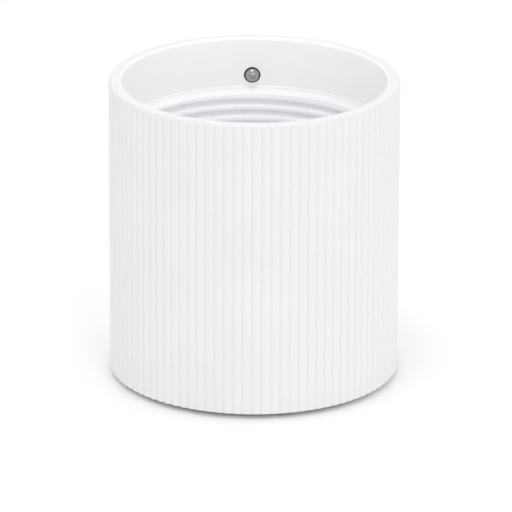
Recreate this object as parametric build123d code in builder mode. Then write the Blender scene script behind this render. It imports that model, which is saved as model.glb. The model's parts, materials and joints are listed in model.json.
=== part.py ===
from build123d import *
from math import cos, radians, sin
import os

# Tabletop mesh network node: a reeded upright cylinder whose open top is a threaded well.
# Millimetres, +Z up, origin at the centre of the base. The front faces -Y and the ports face +Y.

# Overall shape
BODY_RADIUS = 55.0
BODY_HEIGHT = 116.2
FOOT_GAP = 1.2
SLEEVE_FOOT_Z = 2.0
RIB_COUNT = 96
RIB_DEPTH = 0.5
VALLEY_RADIUS = BODY_RADIUS - RIB_DEPTH
RIM_ROUND = 0.6
HEM_CHAMFER = 0.15

# Collar, the smooth mouth of the well
MOUTH_RADIUS = 50.2
MOUTH_ROUND = 1.0
COLLAR_DEPTH = 20.0
COLLAR_FOOT_Z = BODY_HEIGHT - COLLAR_DEPTH
COLLAR_LIP = 0.6

# Sleeve bores: a narrow one round the collar, a wide one round everything below it
RIM_BORE = 52.1
SLEEVE_BORE = 53.1
SHOULDER_Z = COLLAR_FOOT_Z + 0.1
COLLAR_OUTER = RIM_BORE - 0.1
RIM_LIP_HEIGHT = 1.2
RIM_LIP_BORE = MOUTH_RADIUS + MOUTH_ROUND + 0.04
COLLAR_STEP_Z = BODY_HEIGHT - RIM_LIP_HEIGHT - 0.1

# Threaded ring, the lower wall of the well
CREST_RADIUS = 47.85
ROOT_RADIUS = 50.25
RING_OUTER = SLEEVE_BORE - 0.1
PITCH = 4.3
RING_LENGTH = 30.0
RING_FOOT_Z = COLLAR_FOOT_Z - RING_LENGTH
PILOT_LENGTH = 5.5
RELIEF_HEIGHT = 2.5
RELIEF_RADIUS = ROOT_RADIUS + 0.2
SHADOW_GAP = 0.12
SHADOW_GAP_RADIUS = 51.0
RING_CHAMFER = 2.1
GROOVE_TOP_Z = COLLAR_FOOT_Z - 3.7
GROOVE_FOOT_Z = RING_FOOT_Z + 6.6
ROOT_Z_AT_BACK = COLLAR_FOOT_Z - 5.6
GROOVE_BELOW = 1.5
GROOVE_ABOVE = 2.2
FLANK_SHARES = (0.25, 0.5, 0.75)
OVERCUT = 0.1

# Well floor and the frame that carries it
FLOOR_THICKNESS = 3.0
FLOOR_Z = RING_FOOT_Z - FLOOR_THICKNESS
FLOOR_RADIUS = RING_OUTER - 0.2
FRAME_RING_HEIGHT = 3.0
FRAME_RING_Z = FLOOR_Z - FRAME_RING_HEIGHT
FRAME_RING_BORE = 42.0
FRAME_RING_OUTER = 52.6
POST_RADIUS = 4.2
POST_CIRCLE = 46.0
POST_ANGLES = (10, 170, 235, 305)
WELL_SCREW_CIRCLE = 50.4
WELL_SCREW_ANGLES = (40, 140, 220, 320)
WELL_SCREW_DEPTH = 5.0
FLOOR_SLOTS = 24
FLOOR_SLOT_CIRCLE = 20.0
FLOOR_SLOT = (20.0, 2.4)
POST_PILOT_DEPTH = 10.0

# Base
BASE_Z = FOOT_GAP
BASE_THICKNESS = 2.5
BASE_TOP = BASE_Z + BASE_THICKNESS
BASE_RADIUS = SLEEVE_BORE - 0.2
BASE_WALL = 2.0
BASE_WALL_TOP = 8.5
FOOT_INNER = 41.5
FOOT_OUTER = 50.5
FOOT_TOP = 2.0
FOOT_ROUND = 0.5
FOOT_FIT = 0.2
BASE_BOSS_TOP = 7.0
BASE_SCREW_SEAT = 4.0
BASE_SCREW_LENGTH = 11.0
BASE_BOSS_RADIUS = 4.2
BASE_SLOTS = 20
BASE_SLOT_CIRCLE = 19.0
BASE_SLOT = (14.0, 2.0)

# Screws
SCREW_SHANK = 1.15
PILOT_HOLE = 1.2
CLEAR_HOLE = 1.4
HEAD_RADIUS = 2.3
HEAD_HEIGHT = 1.6
HEAD_POCKET = 2.6
DRIVE_RADIUS = 1.1
DRIVE_DEPTH = 0.9
BOARD_SCREW_LENGTH = 7.0
SINK_SCREW_LENGTH = 6.0
WELL_SCREW_BITE = 4.5
RUNNING_GAP = 0.05

# Main board
BOARD_Z = 11.0
BOARD_THICKNESS = 1.6
BOARD_TOP = BOARD_Z + BOARD_THICKNESS
BOARD_RADIUS = 40.5
BOARD_TAIL_X = 27.0
BOARD_TAIL_Y = 44.5
BOARD_BOSS_RADIUS = 3.5
BOARD_BOSSES = ((-30, -22), (30, -22), (-30, 12), (30, 12))

# Port bay at the back
BAY_HALF_WIDTH = 27.5
BAY_FOOT = 9.0
BAY_TOP = 29.5
BEZEL_GAP = 0.1
BEZEL_SHELF = 1.1
BEZEL_SKIN_RADIUS = 54.3
PANEL_Y = 46.5
PANEL_THICKNESS = 1.5
SOCKET_FACE_Y = 46.3
WINDOW_GAP = 0.15

# Network sockets
SOCKET_WIDTH = 16.0
SOCKET_HEIGHT = 13.4
SOCKET_DEPTH = 21.3
SHELL_SHEET = 0.4
PLUG_WIDTH = 11.8
PLUG_HEIGHT = 7.0
PLUG_FOOT_Z = 16.7
LATCH_WIDTH = 6.2
LATCH_FOOT_Z = 14.9
PLUG_DEPTH = 14.0
CONTACT_COUNT = 8
CONTACT_PITCH = 1.02
CONTACT_WIDTH = 0.4
CONTACT_DROP = 2.4
CONTACT_INSET = 2.0
SOCKET_CENTRES = {"wan": -15.0, "lan": 3.0}

# Power inlet
JACK_X = 18.5
JACK_WIDTH = 9.0
JACK_HEIGHT = 11.0
JACK_DEPTH = 13.5
JACK_AXIS_Z = 18.3
JACK_BORE = 3.2
JACK_BORE_DEPTH = 10.0
JACK_PIN_RADIUS = 1.0
JACK_PIN_LENGTH = 9.0
JACK_PIN_ROUND = 0.5

# Reset switch and status light, either side of the sockets
SIDE_Z = 17.0
RESET_X = -25.4
RESET_BODY = (3.6, 4.0, 6.4)
RESET_FACE_Y = 42.5
RESET_PLUNGER = 0.9
RESET_PLUNGER_ROUND = 0.3
RESET_PLUNGER_OUT = 1.3
RESET_PLUNGER_IN = 1.6
RESET_POCKET = 2.0
RESET_ACCESS = 0.9
LIGHT_X = 25.4
LIGHT_PIPE_RADIUS = 1.0
LIGHT_PIPE_BEND = 1.5
LIGHT_Y = 39.0
EMITTER = (1.6, 1.2)
EMITTER_HEIGHT = 0.7

# Pairing button in the collar wall
BUTTON_Z = BODY_HEIGHT - 15.1
BUTTON_RADIUS = 2.6
BUTTON_TIP_Y = 48.0
BUTTON_BROW_Y = 49.75
BUTTON_FLANGE = 4.5
BUTTON_FLANGE_FRONT = 51.15
BUTTON_FLANGE_BACK = 51.8
BUTTON_HOLE = 3.2
BUTTON_POCKET = 4.6
BUTTON_POCKET_Y = 51.1
SEAL_BORE = BUTTON_RADIUS + 0.05
SEAL_FRONT_Y = 50.35
SWITCH_BODY = 6.0
SWITCH_CORNER = 0.8
SWITCH_FACE_Y = 52.5
SNAP_DOME_RADIUS = 2.2
SNAP_DOME_HEIGHT = 0.17
SNAP_DOME_CHAMFER = 0.05
FLEX_Y = 53.1
FLEX_THICKNESS = 0.15
FLEX_WIDTH = 5.0
FLEX_CHANNEL_Y = 53.6
FLEX_CHANNEL_WIDTH = 6.4
FLEX_BEND = 1.5
FLEX_TURN_Z = 31.6
FLEX_PLUG_Y = 22.5
FLEX_PLUG = (7.0, 3.0)
FLEX_PLUG_HEIGHT = 1.8

# Cooling
CHIP_SIZE = 15.0
CHIP_HEIGHT = 1.4
CHIP_Y = -8.0
MEMORY_Y = 7.0
MEMORY_SIZE = (10.0, 8.0, 1.0)
TRANSFORMER_PLACE = (-15.5, 19.5)
TRANSFORMER_SIZE = (22.0, 8.5, 5.0)
CAPACITOR_Y = 26.0
CAPACITOR_RADIUS = 4.0
CAPACITOR_HEIGHT = 11.0
CAPACITOR_ROUND = 0.6
PAD_HEIGHT = 1.0
PACKAGE_CHAMFER = 0.15
SINK_WIDTH = 46.0
SINK_LENGTH = 40.0
SINK_Y = -6.0
SINK_BASE = 3.0
SINK_Z = BOARD_TOP + CHIP_HEIGHT + PAD_HEIGHT
FIN_COUNT = 11
FIN_THICKNESS = 1.2
FIN_HEIGHT = 22.0
SINK_FOOT_RADIUS = 3.0
SINK_FEET = ((-19, -22), (19, -22), (-19, 10), (19, 10))

# Radios
RADIO_X = 31.5
RADIO_Y = -5.0
RADIO_SIZE = (7.0, 7.0, 0.9)
SHIELD_WIDTH = 10.0
SHIELD_LENGTH = 22.0
SHIELD_HEIGHT = 3.0

# Antennas and their leads
ANTENNA_ANGLES = {"right_rear": 45, "left_rear": 135, "left_front": 202, "right_front": 338}
ANTENNA_RADIUS = 44.0
ANTENNA_WIDTH = 20.0
ANTENNA_THICKNESS = 0.8
ANTENNA_FOOT_Z = 30.0
LEAD_RADIUS = 0.6
LEAD_BEND = 2.5
LEAD_EXIT_Z = 34.0
LEAD_SHELF_Z = 22.0
COAX_RADIUS = 1.4
COAX_HEIGHT = 1.6
COAX_PLACES = {
    "right_rear": (37, 10),
    "left_rear": (-37, 10),
    "left_front": (-21, -31),
    "right_front": (21, -31),
}

os.makedirs("parts", exist_ok=True)


def save(part, name):
    part.label = name
    export_step(part, f"parts/{name}.step")


def ring_points(radius, angles):
    return [(radius * cos(radians(a)), radius * sin(radians(a))) for a in angles]


def screws(places, seat_z, length, head_above):
    """Pan-head screws: the shank runs from seat_z away from the head for the given length."""
    way = 1 if head_above else -1
    with BuildPart() as group:
        for x, y in places:
            with BuildSketch(Plane.XY.offset(seat_z)):
                with Locations((x, y)):
                    Circle(HEAD_RADIUS)
            extrude(amount=way * HEAD_HEIGHT)
            with BuildSketch(Plane.XY.offset(seat_z)):
                with Locations((x, y)):
                    Circle(SCREW_SHANK)
            extrude(amount=-way * length)
            with BuildSketch(Plane.XY.offset(seat_z + way * HEAD_HEIGHT)):
                with Locations((x, y)):
                    RegularPolygon(DRIVE_RADIUS, 6)
            extrude(amount=-way * DRIVE_DEPTH, mode=Mode.SUBTRACT)
    return group.part


def chip(x, y, width, length, height):
    """A flat package standing on the main board."""
    with BuildPart() as package:
        with BuildSketch(Plane.XY.offset(BOARD_TOP)):
            with Locations((x, y)):
                Rectangle(width, length)
        extrude(amount=height)
        chamfer(package.faces().sort_by(Axis.Z)[-1].edges(), PACKAGE_CHAMFER)
    return package.part


# Outer sleeve: 96 convex reeds round a plain bore, with a rounded top edge
rib_angle = 360 / RIB_COUNT
with BuildPart() as outer_sleeve:
    with BuildSketch(Plane.XY.offset(SLEEVE_FOOT_Z)):
        with BuildLine():
            for rib in range(RIB_COUNT):
                start, crest, end = (rib_angle * (rib + step) for step in (-0.5, 0, 0.5))
                ThreePointArc(
                    *ring_points(VALLEY_RADIUS, [start]),
                    *ring_points(BODY_RADIUS, [crest]),
                    *ring_points(VALLEY_RADIUS, [end]),
                )
        make_face()
    extrude(amount=BODY_HEIGHT - SLEEVE_FOOT_Z)
    chamfer(outer_sleeve.faces().sort_by(Axis.Z)[0].edges(), HEM_CHAMFER)
    with BuildSketch(Plane.XY.offset(SLEEVE_FOOT_Z)):
        Circle(SLEEVE_BORE)
    extrude(amount=BODY_HEIGHT - SLEEVE_FOOT_Z, mode=Mode.SUBTRACT)
    with BuildSketch(Plane.XY.offset(SHOULDER_Z)):
        Circle(SLEEVE_BORE)
        Circle(RIM_BORE, mode=Mode.SUBTRACT)
    extrude(amount=BODY_HEIGHT - SHOULDER_Z)
    with BuildSketch(Plane.XY.offset(BODY_HEIGHT - RIM_LIP_HEIGHT)):
        Circle(RIM_BORE)
        Circle(RIM_LIP_BORE, mode=Mode.SUBTRACT)
    extrude(amount=RIM_LIP_HEIGHT)
    with BuildSketch(Plane.XZ):
        with Locations((VALLEY_RADIUS - RIM_ROUND, BODY_HEIGHT - RIM_ROUND)):
            Rectangle(3 * RIM_ROUND, 2 * RIM_ROUND, align=Align.MIN)
            Circle(RIM_ROUND, mode=Mode.SUBTRACT)
    revolve(axis=Axis.Z, mode=Mode.SUBTRACT)
    with BuildSketch(Plane.XY.offset(BAY_FOOT)):
        with Locations((0, PANEL_Y - PANEL_THICKNESS - BEZEL_GAP)):
            Rectangle(2 * BAY_HALF_WIDTH, BODY_RADIUS, align=(Align.CENTER, Align.MIN))
    extrude(amount=BAY_TOP - BAY_FOOT, mode=Mode.SUBTRACT)
    with BuildSketch(Plane.XY.offset(BAY_TOP)):
        Rectangle(FLEX_CHANNEL_WIDTH, FLEX_CHANNEL_Y, align=(Align.CENTER, Align.MIN))
    extrude(amount=SHOULDER_Z - BAY_TOP, mode=Mode.SUBTRACT)
    with BuildSketch(Plane.XY.offset(SHOULDER_Z)):
        Rectangle(2 * BUTTON_POCKET, FLEX_CHANNEL_Y, align=(Align.CENTER, Align.MIN))
    extrude(amount=BUTTON_Z + BUTTON_POCKET - SHOULDER_Z, mode=Mode.SUBTRACT)
save(outer_sleeve.part, "outer_sleeve")

# Rim collar: the smooth mouth of the well, with a rounded inner lip and the button's hole
with BuildPart() as rim_collar:
    with BuildSketch(Plane.XZ):
        with BuildLine():
            Polyline(
                (MOUTH_RADIUS, BODY_HEIGHT - MOUTH_ROUND),
                (MOUTH_RADIUS, COLLAR_FOOT_Z + COLLAR_LIP),
                (MOUTH_RADIUS - COLLAR_LIP, COLLAR_FOOT_Z),
                (COLLAR_OUTER, COLLAR_FOOT_Z),
                (COLLAR_OUTER, COLLAR_STEP_Z),
                (MOUTH_RADIUS + MOUTH_ROUND, COLLAR_STEP_Z),
                (MOUTH_RADIUS + MOUTH_ROUND, BODY_HEIGHT),
            )
            RadiusArc(
                (MOUTH_RADIUS + MOUTH_ROUND, BODY_HEIGHT),
                (MOUTH_RADIUS, BODY_HEIGHT - MOUTH_ROUND),
                -MOUTH_ROUND,
            )
        make_face()
    revolve(axis=Axis.Z)
    with BuildSketch(Plane.XZ.offset(-COLLAR_OUTER)):
        with Locations((0, BUTTON_Z)):
            Circle(BUTTON_HOLE)
    extrude(amount=COLLAR_OUTER - BUTTON_TIP_Y, mode=Mode.SUBTRACT)
    with BuildSketch(Plane.XZ.offset(-COLLAR_OUTER)):
        with Locations((0, BUTTON_Z)):
            Circle(BUTTON_POCKET)
    extrude(amount=COLLAR_OUTER - BUTTON_POCKET_Y, mode=Mode.SUBTRACT)
save(rim_collar.part, "rim_collar")

# The helical groove, made from its foot upwards and then turned so that it meets the back where it should
with BuildLine() as groove_path:
    Helix(PITCH, GROOVE_TOP_Z - GROOVE_FOOT_Z, CREST_RADIUS, center=(0, 0, GROOVE_FOOT_Z))
groove_depth = ROOT_RADIUS - CREST_RADIUS


def flank_point(reach, share):
    """A point on a rounded flank of that reach, from share 0 at its mouth to 1 at its root."""
    return (groove_depth * share * share * (3 - 2 * share), reach * (1 - share))


def mouth_point(reach):
    """Where a flank runs out past the bore."""
    depth, height = flank_point(reach, FLANK_SHARES[0])
    return (-OVERCUT, reach + (reach - height) * OVERCUT / depth)


with BuildPart() as groove:
    with BuildSketch(Plane((CREST_RADIUS, 0, GROOVE_FOOT_Z), x_dir=(1, 0, 0), z_dir=(0, -1, 0))):
        with BuildLine():
            Spline(
                mouth_point(-GROOVE_BELOW),
                *[flank_point(-GROOVE_BELOW, share) for share in FLANK_SHARES],
                (groove_depth, 0),
                *[flank_point(GROOVE_ABOVE, share) for share in reversed(FLANK_SHARES)],
                mouth_point(GROOVE_ABOVE),
            )
            Line(mouth_point(GROOVE_ABOVE), mouth_point(-GROOVE_BELOW))
        make_face()
    sweep(path=groove_path.line, is_frenet=True)
turns_to_back = (ROOT_Z_AT_BACK - GROOVE_FOOT_Z) / PITCH
groove_turned = groove.part.rotate(Axis.Z, 90 - 360 * turns_to_back)

# Threaded ring: chamfered mouth, one internal thread, a relief groove and a plain pilot bore
ring_top = COLLAR_FOOT_Z - SHADOW_GAP
relief_z = RING_FOOT_Z + PILOT_LENGTH
with BuildPart() as threaded_ring:
    with BuildSketch(Plane.XY.offset(RING_FOOT_Z)):
        Circle(RING_OUTER)
        Circle(CREST_RADIUS, mode=Mode.SUBTRACT)
    extrude(amount=COLLAR_FOOT_Z - RING_FOOT_Z)
    add(groove_turned, mode=Mode.SUBTRACT)
    with BuildSketch(Plane.XY.offset(relief_z)):
        Circle(RELIEF_RADIUS)
    extrude(amount=RELIEF_HEIGHT, mode=Mode.SUBTRACT)
    with BuildSketch(Plane.XZ):
        Polygon(
            (CREST_RADIUS - RING_CHAMFER, ring_top - 2 * RING_CHAMFER),
            (CREST_RADIUS + RING_CHAMFER, ring_top),
            (SHADOW_GAP_RADIUS, ring_top),
            (SHADOW_GAP_RADIUS, COLLAR_FOOT_Z + 1),
            (CREST_RADIUS - RING_CHAMFER, COLLAR_FOOT_Z + 1),
            align=None,
        )
    revolve(axis=Axis.Z, mode=Mode.SUBTRACT)
    with BuildSketch(Plane.XY.offset(RING_FOOT_Z)):
        with Locations(*ring_points(WELL_SCREW_CIRCLE, WELL_SCREW_ANGLES)):
            Circle(PILOT_HOLE)
    extrude(amount=WELL_SCREW_DEPTH, mode=Mode.SUBTRACT)
save(threaded_ring.part, "threaded_ring")

# Well floor: a disc with a ring of cooling slots
with BuildPart() as well_floor:
    with BuildSketch(Plane.XY.offset(FLOOR_Z)):
        Circle(FLOOR_RADIUS)
        with PolarLocations(FLOOR_SLOT_CIRCLE, FLOOR_SLOTS):
            SlotOverall(*FLOOR_SLOT, mode=Mode.SUBTRACT)
        with Locations(*ring_points(WELL_SCREW_CIRCLE, WELL_SCREW_ANGLES)):
            Circle(CLEAR_HOLE, mode=Mode.SUBTRACT)
    extrude(amount=FLOOR_THICKNESS)
save(well_floor.part, "well_floor")

# Inner frame: four posts under a ring that carries the well
with BuildPart() as inner_frame:
    with BuildSketch(Plane.XY.offset(FRAME_RING_Z)):
        Circle(FRAME_RING_OUTER)
        Circle(FRAME_RING_BORE, mode=Mode.SUBTRACT)
        with Locations(*ring_points(WELL_SCREW_CIRCLE, WELL_SCREW_ANGLES)):
            Circle(CLEAR_HOLE, mode=Mode.SUBTRACT)
    extrude(amount=FRAME_RING_HEIGHT)
    with BuildSketch(Plane.XY.offset(BASE_BOSS_TOP)):
        with Locations(*ring_points(POST_CIRCLE, POST_ANGLES)):
            Circle(POST_RADIUS)
    extrude(amount=FRAME_RING_Z - BASE_BOSS_TOP)
    with BuildSketch(Plane.XY.offset(BASE_BOSS_TOP)):
        with Locations(*ring_points(POST_CIRCLE, POST_ANGLES)):
            Circle(PILOT_HOLE)
    extrude(amount=POST_PILOT_DEPTH, mode=Mode.SUBTRACT)
save(inner_frame.part, "inner_frame")

# Base cover: a vented disc with a low wall, four board bosses and four screw bosses
with BuildPart() as base_cover:
    with BuildSketch(Plane.XY.offset(BASE_Z)):
        Circle(BASE_RADIUS)
        with PolarLocations(BASE_SLOT_CIRCLE, BASE_SLOTS):
            SlotOverall(*BASE_SLOT, mode=Mode.SUBTRACT)
    extrude(amount=BASE_THICKNESS)
    with BuildSketch(Plane.XY.offset(BASE_TOP)):
        Circle(BASE_RADIUS)
        Circle(BASE_RADIUS - BASE_WALL, mode=Mode.SUBTRACT)
    extrude(amount=BASE_WALL_TOP - BASE_TOP)
    with BuildSketch(Plane.XY.offset(BASE_TOP)):
        with Locations(*BOARD_BOSSES):
            Circle(BOARD_BOSS_RADIUS)
    extrude(amount=BOARD_Z - BASE_TOP)
    with BuildSketch(Plane.XY.offset(BASE_TOP)):
        with Locations(*ring_points(POST_CIRCLE, POST_ANGLES)):
            Circle(BASE_BOSS_RADIUS)
    extrude(amount=BASE_BOSS_TOP - BASE_TOP)
    with BuildSketch(Plane.XY.offset(BASE_TOP)):
        with Locations(*BOARD_BOSSES):
            Circle(PILOT_HOLE)
    extrude(amount=BOARD_Z - BASE_TOP, mode=Mode.SUBTRACT)
    with BuildSketch(Plane.XY.offset(BASE_Z)):
        Circle(FOOT_OUTER + FOOT_FIT)
        Circle(FOOT_INNER - FOOT_FIT, mode=Mode.SUBTRACT)
    extrude(amount=FOOT_TOP - BASE_Z, mode=Mode.SUBTRACT)
    with BuildSketch(Plane.XY.offset(FOOT_TOP)):
        with Locations(*ring_points(POST_CIRCLE, POST_ANGLES)):
            Circle(HEAD_POCKET)
    extrude(amount=BASE_SCREW_SEAT - FOOT_TOP, mode=Mode.SUBTRACT)
    with BuildSketch(Plane.XY.offset(BASE_SCREW_SEAT)):
        with Locations(*ring_points(POST_CIRCLE, POST_ANGLES)):
            Circle(CLEAR_HOLE)
    extrude(amount=BASE_BOSS_TOP - BASE_SCREW_SEAT, mode=Mode.SUBTRACT)
save(base_cover.part, "base_cover")

# Foot ring: a rubber band let into the base, which hides the base screws
with BuildPart() as foot_ring:
    with BuildSketch():
        Circle(FOOT_OUTER)
        Circle(FOOT_INNER, mode=Mode.SUBTRACT)
    extrude(amount=FOOT_TOP)
    fillet(foot_ring.faces().sort_by(Axis.Z)[0].edges(), FOOT_ROUND)
save(foot_ring.part, "foot_ring")

# Screws, one node for each set
save(
    screws(ring_points(POST_CIRCLE, POST_ANGLES), BASE_SCREW_SEAT, BASE_SCREW_LENGTH, False),
    "base_screws",
)
save(screws(BOARD_BOSSES, BOARD_TOP, BOARD_SCREW_LENGTH, True), "board_screws")
save(
    screws(
        ring_points(WELL_SCREW_CIRCLE, WELL_SCREW_ANGLES),
        FRAME_RING_Z,
        FRAME_RING_HEIGHT + FLOOR_THICKNESS + WELL_SCREW_BITE,
        False,
    ),
    "well_screws",
)
save(screws(SINK_FEET, BOARD_Z, SINK_SCREW_LENGTH, False), "heat_sink_screws")

# Main board: round, with a straight tail that carries the sockets
with BuildPart() as main_board:
    with BuildSketch(Plane.XY.offset(BOARD_Z)):
        Circle(BOARD_RADIUS)
        Rectangle(2 * BOARD_TAIL_X, BOARD_TAIL_Y, align=(Align.CENTER, Align.MIN))
        with Locations(*BOARD_BOSSES, *SINK_FEET):
            Circle(CLEAR_HOLE, mode=Mode.SUBTRACT)
    extrude(amount=BOARD_THICKNESS)
save(main_board.part, "main_board")

# Port bezel: the flat panel and the two shelves of the port bay
panel_back = PANEL_Y - PANEL_THICKNESS
with BuildPart() as port_bezel:
    with BuildSketch(Plane.XY.offset(BAY_FOOT + BEZEL_GAP)):
        Circle(BEZEL_SKIN_RADIUS)
        with Locations((0, panel_back)):
            Rectangle(
                2 * (BAY_HALF_WIDTH - BEZEL_GAP),
                BODY_RADIUS,
                align=(Align.CENTER, Align.MIN),
                mode=Mode.INTERSECT,
            )
    extrude(amount=BAY_TOP - BAY_FOOT - 2 * BEZEL_GAP)
    with BuildSketch(Plane.XZ.offset(-BODY_RADIUS)):
        with Locations((0, (BAY_FOOT + BAY_TOP) / 2)):
            Rectangle(2 * BODY_RADIUS, BAY_TOP - BAY_FOOT - 2 * (BEZEL_GAP + BEZEL_SHELF))
    extrude(amount=BODY_RADIUS - PANEL_Y, mode=Mode.SUBTRACT)
    with BuildSketch(Plane.XZ.offset(-BODY_RADIUS)):
        for socket_x in SOCKET_CENTRES.values():
            with Locations((socket_x, BOARD_TOP - WINDOW_GAP)):
                Rectangle(
                    SOCKET_WIDTH + 2 * WINDOW_GAP,
                    SOCKET_HEIGHT + 2 * WINDOW_GAP,
                    align=(Align.CENTER, Align.MIN),
                )
        with Locations((JACK_X, BOARD_TOP - WINDOW_GAP)):
            Rectangle(
                JACK_WIDTH + 2 * WINDOW_GAP,
                JACK_HEIGHT + 2 * WINDOW_GAP,
                align=(Align.CENTER, Align.MIN),
            )
        with Locations((RESET_X, SIDE_Z)):
            Circle(RESET_ACCESS)
        with Locations((LIGHT_X, SIDE_Z)):
            Circle(LIGHT_PIPE_RADIUS + BEZEL_GAP)
    extrude(amount=BODY_RADIUS - panel_back, mode=Mode.SUBTRACT)
save(port_bezel.part, "port_bezel")

# Network sockets: a sheet-metal shell, a moulded insert with the plug cavity, and eight contacts
for socket_name, socket_x in SOCKET_CENTRES.items():
    with BuildPart() as socket_insert:
        with BuildSketch(Plane.XZ.offset(-SOCKET_FACE_Y)):
            with Locations((socket_x, BOARD_TOP)):
                Rectangle(
                    SOCKET_WIDTH - 2 * SHELL_SHEET,
                    SOCKET_HEIGHT - SHELL_SHEET,
                    align=(Align.CENTER, Align.MIN),
                )
        extrude(amount=SOCKET_DEPTH - SHELL_SHEET)
        with BuildSketch(Plane.XZ.offset(-SOCKET_FACE_Y)):
            with Locations((socket_x, PLUG_FOOT_Z)):
                Rectangle(PLUG_WIDTH, PLUG_HEIGHT, align=(Align.CENTER, Align.MIN))
            with Locations((socket_x, LATCH_FOOT_Z)):
                Rectangle(LATCH_WIDTH, PLUG_HEIGHT, align=(Align.CENTER, Align.MIN))
        extrude(amount=PLUG_DEPTH, mode=Mode.SUBTRACT)
    save(socket_insert.part, f"{socket_name}_socket_insert")

    with BuildPart() as socket_shell:
        with BuildSketch(Plane.XZ.offset(-SOCKET_FACE_Y)):
            with Locations((socket_x, BOARD_TOP)):
                Rectangle(SOCKET_WIDTH, SOCKET_HEIGHT, align=(Align.CENTER, Align.MIN))
        extrude(amount=SOCKET_DEPTH)
        with BuildSketch(Plane.XZ.offset(-SOCKET_FACE_Y)):
            with Locations((socket_x, BOARD_TOP)):
                Rectangle(
                    SOCKET_WIDTH - 2 * SHELL_SHEET,
                    SOCKET_HEIGHT - SHELL_SHEET,
                    align=(Align.CENTER, Align.MIN),
                )
        extrude(amount=SOCKET_DEPTH - SHELL_SHEET, mode=Mode.SUBTRACT)
    save(socket_shell.part, f"{socket_name}_socket_shell")

    cavity_top = PLUG_FOOT_Z + PLUG_HEIGHT
    cavity_end = SOCKET_FACE_Y - PLUG_DEPTH
    contact_low = cavity_top - CONTACT_DROP
    with BuildPart() as socket_contacts:
        for contact in range(CONTACT_COUNT):
            contact_x = socket_x + (contact - (CONTACT_COUNT - 1) / 2) * CONTACT_PITCH
            with BuildSketch(Plane.YZ.offset(contact_x)):
                Polygon(
                    (SOCKET_FACE_Y - CONTACT_INSET, cavity_top - CONTACT_WIDTH),
                    (SOCKET_FACE_Y - CONTACT_INSET, cavity_top),
                    (cavity_end + CONTACT_INSET, contact_low + CONTACT_WIDTH),
                    (cavity_end, contact_low + 2 * CONTACT_WIDTH),
                    (cavity_end, contact_low + CONTACT_WIDTH),
                    (cavity_end + CONTACT_INSET, contact_low),
                    align=None,
                )
            extrude(amount=CONTACT_WIDTH / 2, both=True)
    save(socket_contacts.part, f"{socket_name}_contacts")

# Power inlet: a moulded barrel socket and its centre pin
with BuildPart() as power_jack:
    with BuildSketch(Plane.XZ.offset(-SOCKET_FACE_Y)):
        with Locations((JACK_X, BOARD_TOP)):
            Rectangle(JACK_WIDTH, JACK_HEIGHT, align=(Align.CENTER, Align.MIN))
    extrude(amount=JACK_DEPTH)
    with BuildSketch(Plane.XZ.offset(-SOCKET_FACE_Y)):
        with Locations((JACK_X, JACK_AXIS_Z)):
            Circle(JACK_BORE)
    extrude(amount=JACK_BORE_DEPTH, mode=Mode.SUBTRACT)
save(power_jack.part, "power_jack")

with BuildPart() as power_pin:
    with BuildSketch(Plane.XZ.offset(JACK_BORE_DEPTH - SOCKET_FACE_Y)):
        with Locations((JACK_X, JACK_AXIS_Z)):
            Circle(JACK_PIN_RADIUS)
    extrude(amount=-JACK_PIN_LENGTH)
    fillet(power_pin.faces().sort_by(Axis.Y)[-1].edges(), JACK_PIN_ROUND)
save(power_pin.part, "power_pin")

# Reset switch: a small body on the board's tail, and a plunger behind a pinhole in the bezel
reset_width, reset_depth, reset_height = RESET_BODY
with BuildPart() as reset_switch:
    with BuildSketch(Plane.XZ.offset(-RESET_FACE_Y)):
        with Locations((RESET_X, BOARD_TOP)):
            Rectangle(reset_width, reset_height, align=(Align.CENTER, Align.MIN))
    extrude(amount=reset_depth)
    with BuildSketch(Plane.XZ.offset(-RESET_FACE_Y)):
        with Locations((RESET_X, SIDE_Z)):
            Circle(RESET_PLUNGER + RUNNING_GAP)
    extrude(amount=RESET_POCKET, mode=Mode.SUBTRACT)
save(reset_switch.part, "reset_switch")

with BuildPart() as reset_plunger:
    with BuildSketch(Plane.XZ.offset(RESET_PLUNGER_IN - RESET_FACE_Y)):
        with Locations((RESET_X, SIDE_Z)):
            Circle(RESET_PLUNGER)
    extrude(amount=-RESET_PLUNGER_IN - RESET_PLUNGER_OUT)
    fillet(reset_plunger.faces().sort_by(Axis.Y)[-1].edges(), RESET_PLUNGER_ROUND)
save(reset_plunger.part, "reset_plunger")

# Status light: a board-mounted emitter and the bent pipe that brings it to the panel
save(chip(LIGHT_X, LIGHT_Y, *EMITTER, EMITTER_HEIGHT), "status_emitter")
pipe_foot_z = BOARD_TOP + EMITTER_HEIGHT + BEZEL_GAP
with BuildPart() as light_pipe:
    with BuildLine() as pipe_path:
        FilletPolyline(
            (LIGHT_X, LIGHT_Y, pipe_foot_z),
            (LIGHT_X, LIGHT_Y, SIDE_Z),
            (LIGHT_X, PANEL_Y, SIDE_Z),
            radius=LIGHT_PIPE_BEND,
        )
    with BuildSketch(Plane.XY.offset(pipe_foot_z)):
        with Locations((LIGHT_X, LIGHT_Y)):
            Circle(LIGHT_PIPE_RADIUS)
    sweep(path=pipe_path.line)
save(light_pipe.part, "light_pipe")

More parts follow.
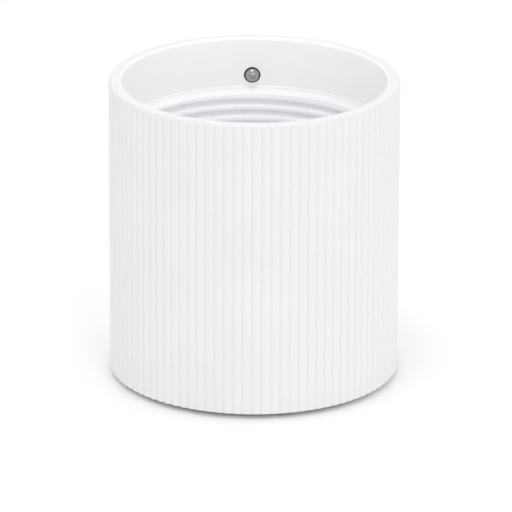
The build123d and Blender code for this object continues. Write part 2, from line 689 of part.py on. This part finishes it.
# Pairing button: a domed metal cap with a flange behind the collar wall
with BuildPart() as pairing_button:
    with BuildSketch(Plane.YZ):
        with BuildLine():
            Polyline(
                (BUTTON_TIP_Y, 0),
                (BUTTON_FLANGE_BACK, 0),
                (BUTTON_FLANGE_BACK, BUTTON_FLANGE),
                (BUTTON_FLANGE_FRONT, BUTTON_FLANGE),
                (BUTTON_FLANGE_FRONT, BUTTON_RADIUS),
                (BUTTON_BROW_Y, BUTTON_RADIUS),
            )
            brow_height = BUTTON_BROW_Y - BUTTON_TIP_Y
            dome_radius = (BUTTON_RADIUS**2 + brow_height**2) / (2 * brow_height)
            RadiusArc((BUTTON_BROW_Y, BUTTON_RADIUS), (BUTTON_TIP_Y, 0), -dome_radius)
        make_face()
    revolve(axis=Axis.Y)
save(pairing_button.part.translate((0, 0, BUTTON_Z)), "pairing_button")

# Button seal: a dark soft ring that fills the gap between the cap and its hole
with BuildPart() as button_seal:
    with BuildSketch(Plane.XZ.offset(-BUTTON_POCKET_Y)):
        with Locations((0, BUTTON_Z)):
            Circle(BUTTON_HOLE)
            Circle(SEAL_BORE, mode=Mode.SUBTRACT)
    extrude(amount=BUTTON_POCKET_Y - SEAL_FRONT_Y)
save(button_seal.part, "button_seal")

# The switch behind the button, on the end of its flat cable
with BuildPart() as button_switch:
    with BuildSketch(Plane.XZ.offset(-FLEX_Y)):
        with Locations((0, BUTTON_Z)):
            RectangleRounded(SWITCH_BODY, SWITCH_BODY, SWITCH_CORNER)
    extrude(amount=FLEX_Y - SWITCH_FACE_Y)
save(button_switch.part, "button_switch")

# The snap dome under the button, drawn as it lies when pressed flat
with BuildPart() as snap_dome:
    with BuildSketch(Plane.XZ.offset(-SWITCH_FACE_Y)):
        with Locations((0, BUTTON_Z)):
            Circle(SNAP_DOME_RADIUS)
    extrude(amount=SNAP_DOME_HEIGHT)
    chamfer(snap_dome.faces().sort_by(Axis.Y)[0].edges(), SNAP_DOME_CHAMFER)
save(snap_dome.part, "snap_dome")

# The button's flat cable: down the channel in the sleeve, over the sockets and down to its plug
flex_top = BUTTON_Z + SWITCH_BODY / 2
flex_mid = FLEX_Y + FLEX_THICKNESS / 2
with BuildPart() as button_flex:
    with BuildSketch(Plane.YZ.offset(-FLEX_WIDTH / 2)):
        with BuildLine() as flex_line:
            FilletPolyline(
                (flex_mid, flex_top),
                (flex_mid, FLEX_TURN_Z),
                (FLEX_PLUG_Y, FLEX_TURN_Z),
                (FLEX_PLUG_Y, BOARD_TOP + FLEX_PLUG_HEIGHT),
                radius=FLEX_BEND,
            )
        trace(flex_line.line, line_width=FLEX_THICKNESS)
    extrude(amount=FLEX_WIDTH)
save(button_flex.part, "button_flex")
save(chip(0, FLEX_PLUG_Y, *FLEX_PLUG, FLEX_PLUG_HEIGHT), "flex_plug")

# Packages on the board
save(chip(0, CHIP_Y, CHIP_SIZE, CHIP_SIZE, CHIP_HEIGHT), "main_chip")
save(chip(0, MEMORY_Y, *MEMORY_SIZE), "memory_chip")
save(chip(*TRANSFORMER_PLACE, *TRANSFORMER_SIZE), "line_transformer")
for side, chip_x in (("left", -RADIO_X), ("right", RADIO_X)):
    save(chip(chip_x, RADIO_Y, *RADIO_SIZE), f"{side}_radio_chip")
    with BuildPart() as radio_shield:
        with BuildSketch(Plane.XY.offset(BOARD_TOP)):
            with Locations((chip_x, RADIO_Y)):
                Rectangle(SHIELD_WIDTH, SHIELD_LENGTH)
        extrude(amount=SHIELD_HEIGHT)
        offset(
            amount=-SHELL_SHEET,
            openings=radio_shield.faces().sort_by(Axis.Z)[0],
            mode=Mode.REPLACE,
        )
    save(radio_shield.part, f"{side}_radio_shield")

with BuildPart() as input_capacitor:
    with BuildSketch(Plane.XY.offset(BOARD_TOP)):
        with Locations((JACK_X, CAPACITOR_Y)):
            Circle(CAPACITOR_RADIUS)
    extrude(amount=CAPACITOR_HEIGHT)
    fillet(input_capacitor.faces().sort_by(Axis.Z)[-1].edges(), CAPACITOR_ROUND)
save(input_capacitor.part, "input_capacitor")

# Cooling: a soft pad on the main chip under a finned sink on four feet
save(
    chip(0, CHIP_Y, CHIP_SIZE, CHIP_SIZE, PAD_HEIGHT).translate((0, 0, CHIP_HEIGHT)),
    "thermal_pad",
)
with BuildPart() as heat_sink:
    with BuildSketch(Plane.XY.offset(SINK_Z)):
        with Locations((0, SINK_Y)):
            Rectangle(SINK_WIDTH, SINK_LENGTH)
    extrude(amount=SINK_BASE)
    fin_pitch = (SINK_WIDTH - FIN_THICKNESS) / (FIN_COUNT - 1)
    with BuildSketch(Plane.XY.offset(SINK_Z + SINK_BASE)):
        with Locations((0, SINK_Y)):
            with GridLocations(fin_pitch, 1, FIN_COUNT, 1):
                Rectangle(FIN_THICKNESS, SINK_LENGTH)
    extrude(amount=FIN_HEIGHT)
    with BuildSketch(Plane.XY.offset(BOARD_TOP)):
        with Locations(*SINK_FEET):
            Circle(SINK_FOOT_RADIUS)
    extrude(amount=SINK_Z - BOARD_TOP)
    with BuildSketch(Plane.XY.offset(BOARD_TOP)):
        with Locations(*SINK_FEET):
            Circle(PILOT_HOLE)
    extrude(amount=SINK_Z + SINK_BASE - BOARD_TOP, mode=Mode.SUBTRACT)
save(heat_sink.part, "heat_sink")

# Antennas under the frame ring, each with a coaxial lead to a socket on the board
antenna_height = FRAME_RING_Z - ANTENNA_FOOT_Z
for corner, angle in ANTENNA_ANGLES.items():
    outward = Vector(cos(radians(angle)), sin(radians(angle)), 0)
    along = outward.cross(Vector(0, 0, 1))
    with BuildPart() as antenna:
        with BuildSketch(Plane(outward * ANTENNA_RADIUS, x_dir=along, z_dir=outward)):
            with Locations((0, -FRAME_RING_Z)):
                Rectangle(ANTENNA_WIDTH, antenna_height, align=(Align.CENTER, Align.MIN))
        extrude(amount=ANTENNA_THICKNESS)
    save(antenna.part, f"{corner}_antenna")

    plug_x, plug_y = COAX_PLACES[corner]
    with BuildPart() as coax_plug:
        with BuildSketch(Plane.XY.offset(BOARD_TOP)):
            with Locations((plug_x, plug_y)):
                Circle(COAX_RADIUS)
        extrude(amount=COAX_HEIGHT)
    save(coax_plug.part, f"{corner}_coax_plug")

    lead_start = outward * (ANTENNA_RADIUS - LEAD_RADIUS) + Vector(0, 0, LEAD_EXIT_Z)
    with BuildPart() as antenna_lead:
        with BuildLine() as lead_path:
            FilletPolyline(
                lead_start,
                (lead_start.X, lead_start.Y, LEAD_SHELF_Z),
                (plug_x, plug_y, LEAD_SHELF_Z - LEAD_BEND),
                (plug_x, plug_y, BOARD_TOP + COAX_HEIGHT),
                radius=LEAD_BEND,
            )
        with BuildSketch(Plane(lead_start, z_dir=(0, 0, -1))):
            Circle(LEAD_RADIUS)
        sweep(path=lead_path.line)
    save(antenna_lead.part, f"{corner}_lead")
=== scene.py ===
import bpy
import json
from math import cos, sin
from mathutils import Matrix, Vector


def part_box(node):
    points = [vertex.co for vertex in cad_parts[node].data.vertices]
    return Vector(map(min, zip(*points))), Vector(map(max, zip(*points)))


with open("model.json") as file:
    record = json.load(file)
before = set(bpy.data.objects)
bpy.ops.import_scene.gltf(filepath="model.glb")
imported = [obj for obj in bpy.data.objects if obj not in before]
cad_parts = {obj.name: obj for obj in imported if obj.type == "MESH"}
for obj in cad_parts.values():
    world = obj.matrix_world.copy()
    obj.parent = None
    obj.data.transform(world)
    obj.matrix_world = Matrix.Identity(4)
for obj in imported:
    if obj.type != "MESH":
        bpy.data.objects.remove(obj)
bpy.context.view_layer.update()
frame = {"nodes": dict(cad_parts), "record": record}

# Lengths are in metres and angles in radians. The camera is placed by the sleeve's radius and its rim
sleeve_low, sleeve_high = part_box("outer_sleeve")
RADIUS = (sleeve_high.x - sleeve_low.x) / 2
RIM_Z = sleeve_high.z

# The sleeve's reeds: the painted shade in their valleys, a darker base colour standing in for the shadow
# that falls there, the radii it fades between, and the plain band at the rim
VALLEY_PAINTED_SHADE = 0.965
VALLEY_RADIUS = RADIUS - 0.00045
CREST_RADIUS = RADIUS - 0.0002
RIM_BAND = 0.0008

# The well's thread: the painted shade in its roots, a darker base colour standing in for the shadow that
# falls there, the radii it fades between, and the foot of the plain shoulder
RING_TOP_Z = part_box("threaded_ring")[1].z
THREAD_ROOT_PAINTED_SHADE = 0.905
THREAD_ROOT_RADIUS = 0.0502
THREAD_CREST_RADIUS = 0.0485
SHOULDER_FOOT_Z = RING_TOP_Z - 0.0023
SHOULDER_BLEND = 0.0004

# Each kind of noise: its scale, in features per metre, then its detail
FLOW = (35.0, 2.0)
GLOSS = (180.0, 4.0)
WEAVE = (1500.0, 2.0)
HAZE = (300.0, 3.0)
GRAIN_DETAIL = 2.0
MARK_DETAIL = 5.0
MARK_ROUGHNESS = 0.6

# How far the noise moves a colour, a roughness and a surface
RAMP_START = 0.3
RAMP_END = 0.7
GLOSS_RANGE = (0.88, 1.12)
MARK_TINTS = (0.94, 1.04)
MARK_GLOSS_RANGE = (0.8, 1.3)
BUMP_STRENGTH = 0.5
MARK_HEIGHT = 0.000004
WEAVE_HEIGHT = 0.00002

# Circuit boards: the block pattern of the tracks and the gloss of the mask
TRACK_SCALE = 260.0
TRACK_GAP = 0.04
TRACK_TINT = 1.25
MASK_ROUGHNESS = 0.35

# Clear plastic: how much light goes through, how it bends, and the range of its haze
GUIDE_TRANSMISSION = 0.6
GUIDE_IOR = 1.49
HAZE_DARKEST = (0.88, 0.92, 0.95)
HAZE_LIGHTEST = (0.97, 0.99, 1.0)
HAZE_ROUGHNESS = (0.15, 0.25)

# Camera: far off, so nearly parallel, and about 20 degrees above the horizon. Its lens and sensor are in mm
CAMERA_DISTANCE = 38.66 * RADIUS
CAMERA_ABOVE_RIM = 12.888 * RADIUS
CAMERA_PITCH = 0.35156
CAMERA_YAW = 0.00037
CAMERA_ORBIT = -0.0177
CAMERA_ROLL = 0.00334
CAMERA_LENS = 418.1
CAMERA_REACH = 50.0
SENSOR_WIDTH = 36.0

# Stage and light
WORLD_COLOUR = (1, 1, 1, 1)
WORLD_LEVEL = 0.94
FLOOR_SIZE = 8.0
FLOOR_COLOUR = (0.99, 0.99, 0.99, 1)
FLOOR_ROUGHNESS = 0.35
MAX_BOUNCES = 20
DIFFUSE_BOUNCES = 12


# Materials

def new_material(name):
    material = bpy.data.materials.new(name)
    material.use_nodes = True
    tree = material.node_tree
    shader = tree.nodes["Principled BSDF"]
    return material, tree, shader


def noise(tree, scale, detail, rough=0.5):
    """A noise texture in object space, so that it stays put on the part."""
    place = tree.nodes.new("ShaderNodeTexCoord")
    texture = tree.nodes.new("ShaderNodeTexNoise")
    texture.inputs["Scale"].default_value = scale
    texture.inputs["Detail"].default_value = detail
    texture.inputs["Roughness"].default_value = rough
    tree.links.new(place.outputs["Object"], texture.inputs["Vector"])
    return texture


def ramp(tree, source, low, high):
    """A two-stop colour ramp on a texture's value."""
    node = tree.nodes.new("ShaderNodeValToRGB")
    first, last = node.color_ramp.elements
    first.position = RAMP_START
    last.position = RAMP_END
    first.color = (*low, 1)
    last.color = (*high, 1)
    tree.links.new(source, node.inputs["Fac"])
    return node.outputs["Color"]


def spread(tree, source, low, high):
    """Maps 0 to 1 on to a range."""
    node = tree.nodes.new("ShaderNodeMapRange")
    node.inputs["To Min"].default_value = low
    node.inputs["To Max"].default_value = high
    tree.links.new(source, node.inputs["Value"])
    return node.outputs["Result"]


def ranged(tree, source, start, end):
    """Maps a range on to 0 to 1, and holds the ends beyond it. The end may be below the start."""
    node = tree.nodes.new("ShaderNodeMapRange")
    node.inputs["From Min"].default_value = start
    node.inputs["From Max"].default_value = end
    tree.links.new(source, node.inputs["Value"])
    return node.outputs["Result"]


def bump(tree, shader, height, distance):
    node = tree.nodes.new("ShaderNodeBump")
    node.inputs["Distance"].default_value = distance
    node.inputs["Strength"].default_value = BUMP_STRENGTH
    tree.links.new(height, node.inputs["Height"])
    tree.links.new(node.outputs["Normal"], shader.inputs["Normal"])


def shade(colour, factor):
    return tuple(min(1.0, channel * factor) for channel in colour)


def moulded(name, colour, roughness, grain_scale=2600.0, grain_height=0.00002, mottle=0.012):
    """Injection-moulded plastic: faint flow mottle, fine grain and uneven gloss."""
    material, tree, shader = new_material(name)
    flow = noise(tree, *FLOW)
    tint = ramp(tree, flow.outputs["Fac"], shade(colour, 1 - mottle), shade(colour, 1 + mottle))
    tree.links.new(tint, shader.inputs["Base Color"])
    gloss = noise(tree, *GLOSS)
    smoothest, roughest = (roughness * share for share in GLOSS_RANGE)
    uneven = spread(tree, gloss.outputs["Fac"], smoothest, roughest)
    tree.links.new(uneven, shader.inputs["Roughness"])
    grain = noise(tree, grain_scale, GRAIN_DETAIL)
    bump(tree, shader, grain.outputs["Fac"], grain_height)
    return material


def paint_groove_shade(material, colour, factor, bottom_radius, top_radius, rim_start, rim_end):
    """Paints shade into the bottoms of the grooves round the upright axis, below a rim: a darker base
    colour where shadow falls in them.
    """
    tree = material.node_tree
    shader = tree.nodes["Principled BSDF"]
    tint = shader.inputs["Base Color"].links[0].from_socket
    place = tree.nodes.new("ShaderNodeTexCoord")
    axes = tree.nodes.new("ShaderNodeSeparateXYZ")
    tree.links.new(place.outputs["Object"], axes.inputs["Vector"])
    flat = tree.nodes.new("ShaderNodeCombineXYZ")
    tree.links.new(axes.outputs["X"], flat.inputs["X"])
    tree.links.new(axes.outputs["Y"], flat.inputs["Y"])
    length = tree.nodes.new("ShaderNodeVectorMath")
    length.operation = "LENGTH"
    tree.links.new(flat.outputs["Vector"], length.inputs[0])
    raised = ranged(tree, length.outputs["Value"], bottom_radius, top_radius)
    near_rim = ranged(tree, axes.outputs["Z"], rim_start, rim_end)
    either = tree.nodes.new("ShaderNodeMath")
    either.operation = "MAXIMUM"
    tree.links.new(raised, either.inputs[0])
    tree.links.new(near_rim, either.inputs[1])
    mix = tree.nodes.new("ShaderNodeMix")
    mix.data_type = "RGBA"
    mix.inputs["A"].default_value = (*shade(colour, factor), 1)
    tree.links.new(tint, mix.inputs["B"])
    tree.links.new(either.outputs["Value"], mix.inputs["Factor"])
    tree.links.new(mix.outputs["Result"], shader.inputs["Base Color"])


def metal(name, colour, roughness, streak=None, scale=900.0):
    """Bare or plated metal with fine marks, which a streak below 1 stretches along Z."""
    material, tree, shader = new_material(name)
    shader.inputs["Metallic"].default_value = 1.0
    marks = noise(tree, scale, MARK_DETAIL, MARK_ROUGHNESS)
    if streak:
        place = tree.nodes.new("ShaderNodeTexCoord")
        stretch = tree.nodes.new("ShaderNodeMapping")
        stretch.inputs["Scale"].default_value = (1, 1, streak)
        tree.links.new(place.outputs["Object"], stretch.inputs["Vector"])
        tree.links.new(stretch.outputs["Vector"], marks.inputs["Vector"])
    darkest, lightest = (shade(colour, share) for share in MARK_TINTS)
    tint = ramp(tree, marks.outputs["Fac"], darkest, lightest)
    tree.links.new(tint, shader.inputs["Base Color"])
    smoothest, roughest = (roughness * share for share in MARK_GLOSS_RANGE)
    uneven = spread(tree, marks.outputs["Fac"], smoothest, roughest)
    tree.links.new(uneven, shader.inputs["Roughness"])
    bump(tree, shader, marks.outputs["Fac"], MARK_HEIGHT)
    return material


def board(name, mask, trace):
    """Solder mask over copper: a block pattern of tracks shows faintly through."""
    material, tree, shader = new_material(name)
    place = tree.nodes.new("ShaderNodeTexCoord")
    tracks = tree.nodes.new("ShaderNodeTexBrick")
    tracks.inputs["Scale"].default_value = TRACK_SCALE
    tracks.inputs["Mortar Size"].default_value = TRACK_GAP
    tracks.inputs["Color1"].default_value = (*mask, 1)
    tracks.inputs["Color2"].default_value = (*shade(mask, TRACK_TINT), 1)
    tracks.inputs["Mortar"].default_value = (*trace, 1)
    tree.links.new(place.outputs["Object"], tracks.inputs["Vector"])
    tree.links.new(tracks.outputs["Color"], shader.inputs["Base Color"])
    shader.inputs["Roughness"].default_value = MASK_ROUGHNESS
    weave = noise(tree, *WEAVE)
    bump(tree, shader, weave.outputs["Fac"], WEAVE_HEIGHT)
    return material


def rubber(name, colour, roughness=0.75):
    return moulded(name, colour, roughness, grain_scale=1400.0, grain_height=0.00006, mottle=0.05)


def clear_guide(name):
    """Clear plastic with a faint haze."""
    material, tree, shader = new_material(name)
    shader.inputs["Transmission Weight"].default_value = GUIDE_TRANSMISSION
    shader.inputs["IOR"].default_value = GUIDE_IOR
    haze = noise(tree, *HAZE)
    tint = ramp(tree, haze.outputs["Fac"], HAZE_DARKEST, HAZE_LIGHTEST)
    tree.links.new(tint, shader.inputs["Base Color"])
    uneven = spread(tree, haze.outputs["Fac"], *HAZE_ROUGHNESS)
    tree.links.new(uneven, shader.inputs["Roughness"])
    return material


# The three white mouldings that show. The collar's and the well's whites are painted lighter than the
# shell's, to make up for the shade that falls inside the well
SHELL = (0.84, 0.84, 0.841)
COLLAR_LIGHTENED = (0.935, 0.935, 0.941)
WELL_LIGHTENED = (0.95, 0.948, 0.961)

# One material for each slot. Mouldings, rubbers and metals give a colour and a roughness,
# and boards give the colours of the mask and the tracks
materials = {
    "shell_plastic": moulded("shell_plastic", SHELL, 0.42),
    "collar_plastic": moulded("collar_plastic", COLLAR_LIGHTENED, 0.32, grain_height=0.00001),
    "well_plastic": moulded("well_plastic", WELL_LIGHTENED, 0.42, grain_height=0.00001),
    "bezel_plastic": moulded("bezel_plastic", (0.68, 0.68, 0.69), 0.5, grain_height=0.00004),
    "base_plastic": moulded("base_plastic", (0.70, 0.70, 0.71), 0.55, grain_height=0.00005),
    "frame_plastic": moulded("frame_plastic", (0.55, 0.55, 0.56), 0.5),
    "foot_rubber": rubber("foot_rubber", (0.20, 0.20, 0.205)),
    # The seal round the pairing button is near-black: partly the seal's own black rubber, partly a painted
    # shadow standing in for the shade in the gap round the button
    "seal_rubber": rubber("seal_rubber", (0.03, 0.03, 0.032), 0.6),
    "button_metal": metal("button_metal", (0.36, 0.36, 0.365), 0.2),
    "screw_steel": metal("screw_steel", (0.52, 0.52, 0.53), 0.36),
    "circuit_board": board("circuit_board", (0.02, 0.13, 0.06), (0.05, 0.22, 0.10)),
    "antenna_board": board("antenna_board", (0.015, 0.015, 0.017), (0.35, 0.20, 0.08)),
    "chip_epoxy": moulded("chip_epoxy", (0.018, 0.018, 0.02), 0.45, grain_height=0.00003),
    "shield_metal": metal("shield_metal", (0.66, 0.66, 0.67), 0.36, scale=500.0),
    "socket_plastic": moulded("socket_plastic", (0.022, 0.022, 0.024), 0.4),
    "contact_gold": metal("contact_gold", (0.83, 0.60, 0.24), 0.2),
    "pin_metal": metal("pin_metal", (0.70, 0.69, 0.66), 0.2),
    "plunger_plastic": moulded("plunger_plastic", (0.60, 0.60, 0.58), 0.4),
    "sink_aluminium": metal("sink_aluminium", (0.62, 0.63, 0.64), 0.38, streak=0.05),
    "pad_silicone": rubber("pad_silicone", (0.24, 0.30, 0.42), 0.6),
    "flex_film": moulded("flex_film", (0.42, 0.17, 0.03), 0.34),
    "lead_jacket": moulded("lead_jacket", (0.03, 0.03, 0.032), 0.4),
    "light_plastic": clear_guide("light_plastic"),
}

# Painted shade: a darker base colour in the sleeve's reed valleys and in the roots of the well's thread
paint_groove_shade(
    materials["shell_plastic"], SHELL, VALLEY_PAINTED_SHADE,
    VALLEY_RADIUS, CREST_RADIUS, RIM_Z - 2 * RIM_BAND, RIM_Z - RIM_BAND,
)
paint_groove_shade(
    materials["well_plastic"], WELL_LIGHTENED, THREAD_ROOT_PAINTED_SHADE,
    THREAD_ROOT_RADIUS, THREAD_CREST_RADIUS, SHOULDER_FOOT_Z - SHOULDER_BLEND, SHOULDER_FOOT_Z,
)

for entry in frame["record"]["subparts"]:
    mesh = frame["nodes"][entry["node"]].data
    mesh.materials.clear()
    mesh.materials.append(materials[entry["material_slot"]])


# Stage, light and camera

def add_object(name, data):
    thing = bpy.data.objects.new(name, data)
    bpy.context.scene.collection.objects.link(thing)
    return thing


def make_floor():
    half = FLOOR_SIZE / 2
    corners = [(-half, -half, 0), (half, -half, 0), (half, half, 0), (-half, half, 0)]
    mesh = bpy.data.meshes.new("floor")
    mesh.from_pydata(corners, [], [(0, 1, 2, 3)])
    floor = add_object("floor", mesh)
    material, _, shader = new_material("floor_paper")
    shader.inputs["Base Color"].default_value = FLOOR_COLOUR
    shader.inputs["Roughness"].default_value = FLOOR_ROUGHNESS
    mesh.materials.append(material)


def make_area_light(name, size, power, place, target):
    data = bpy.data.lights.new(name, "AREA")
    data.shape = "DISK"
    data.size = size
    data.energy = power
    light = add_object(name, data)
    light.location = place
    light.rotation_euler = (Vector(target) - Vector(place)).to_track_quat("-Z", "Y").to_euler()


def make_camera():
    data = bpy.data.cameras.new("camera")
    data.sensor_width = SENSOR_WIDTH
    data.lens = CAMERA_LENS
    data.clip_end = CAMERA_REACH
    camera = add_object("camera", data)
    level = cos(CAMERA_PITCH)
    forward = Vector((sin(CAMERA_YAW) * level, cos(CAMERA_YAW) * level, -sin(CAMERA_PITCH)))
    level_right = Vector((cos(CAMERA_YAW), -sin(CAMERA_YAW), 0))
    level_up = level_right.cross(forward)
    right = cos(CAMERA_ROLL) * level_right + sin(CAMERA_ROLL) * level_up
    up = cos(CAMERA_ROLL) * level_up - sin(CAMERA_ROLL) * level_right
    turn = Matrix((right, up, -forward)).transposed().to_4x4()
    orbit = Matrix.Rotation(CAMERA_ORBIT, 4, "Z")
    place = Matrix.Translation((0, -CAMERA_DISTANCE, RIM_Z + CAMERA_ABOVE_RIM))
    camera.matrix_world = orbit @ place @ turn
    bpy.context.scene.camera = camera


make_floor()
make_area_light("overhead", size=0.3, power=1.1, place=(-0.06, -0.15, 1.0), target=(0, 0, 0.1))
make_area_light("front", size=0.6, power=2.5, place=(0.45, -1.6, 0.75), target=(0, 0, 0.1))
make_area_light("side", size=0.6, power=0.8, place=(1.6, -0.4, 0.5), target=(0, 0, 0.05))
make_camera()

scene = bpy.context.scene
world = bpy.data.worlds.new("studio")
world.use_nodes = True
background = world.node_tree.nodes["Background"]
background.inputs["Color"].default_value = WORLD_COLOUR
background.inputs["Strength"].default_value = WORLD_LEVEL
scene.world = world
scene.view_settings.view_transform = "Standard"
scene.cycles.max_bounces = MAX_BOUNCES
scene.cycles.diffuse_bounces = DIFFUSE_BOUNCES
